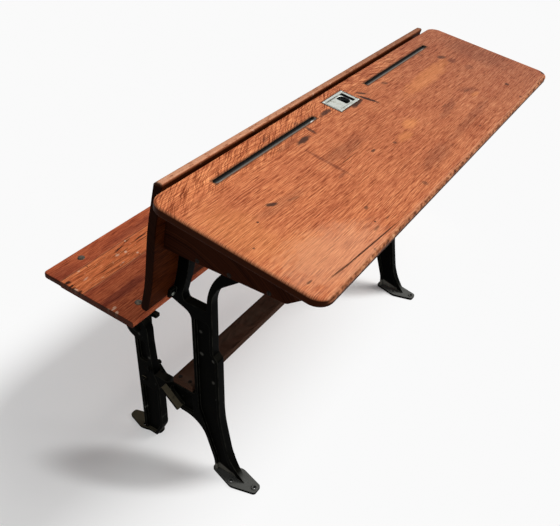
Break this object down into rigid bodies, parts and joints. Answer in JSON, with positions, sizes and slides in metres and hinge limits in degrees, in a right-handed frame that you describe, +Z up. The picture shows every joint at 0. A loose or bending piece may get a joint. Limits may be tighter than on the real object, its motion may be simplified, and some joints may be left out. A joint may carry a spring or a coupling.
{
  "type": "school desk with tip-up seat",
  "caption": "Two-pupil school desk: sloping wooden top with pencil grooves and sliding inkwell cover over an open book box, iron standards, tip-up bench seat.",
  "frame": {"origin": "on the floor under the middle of the desk's outline", "axes": "+X along the desk, -Y towards the pupil at the writing top, +Y towards the bench's front, +Z up"},
  "size_m": [1.067, 0.716, 0.764],
  "materials": {
    "top_wood": "worn satin varnish",
    "back_wood": "worn satin varnish",
    "dark_wood": "dark aged varnish",
    "seat_wood": "worn satin varnish",
    "iron": "worn black paint",
    "screw_steel": "darkened",
    "nickel": "worn nickel plate",
    "cup_glass": "clear, ink stained"
  },
  "bodies": {
    "frame": {"backrest": "back_wood", "backrest_screws": "screw_steel", "book_shelf": "dark_wood", "box_end_left": "dark_wood", "box_end_right": "dark_wood", "box_end_screws": "screw_steel", "desk_standard_left": "iron", "desk_standard_right": "iron", "desk_top": "top_wood", "inkwell_cup": "cup_glass", "inkwell_frame": "nickel", "inkwell_screws": "screw_steel", "joint_bolts": "screw_steel", "joint_nuts": "screw_steel", "seat_pivot_bolts": "screw_steel", "seat_pivot_nuts": "screw_steel", "seat_standard_left": "iron", "seat_standard_right": "iron", "shelf_screws": "screw_steel", "stretcher_board": "dark_wood", "stretcher_screws": "screw_steel", "top_screws": "screw_steel"},
    "seat": {"seat_board_rear": "seat_wood", "seat_board_middle": "seat_wood", "seat_board_front": "seat_wood", "seat_arm_left": "iron", "seat_arm_right": "iron", "seat_bolts": "screw_steel", "seat_nuts": "screw_steel", "seat_screws": "screw_steel"},
    "inkwell_cover": {"inkwell_slide": "nickel"}
  },
  "joints": [
    {"name": "seat_fold", "type": "hinge", "parent": "frame", "child": "seat", "pos_m": [0, 0.1333, 0.32841], "axis": [1, 0, 0], "range_deg": [0, 95]},
    {"name": "inkwell_slide", "type": "slide", "parent": "frame", "child": "inkwell_cover", "axis": [1, 0, 0], "range_m": [0, 0.011]}
  ]
}
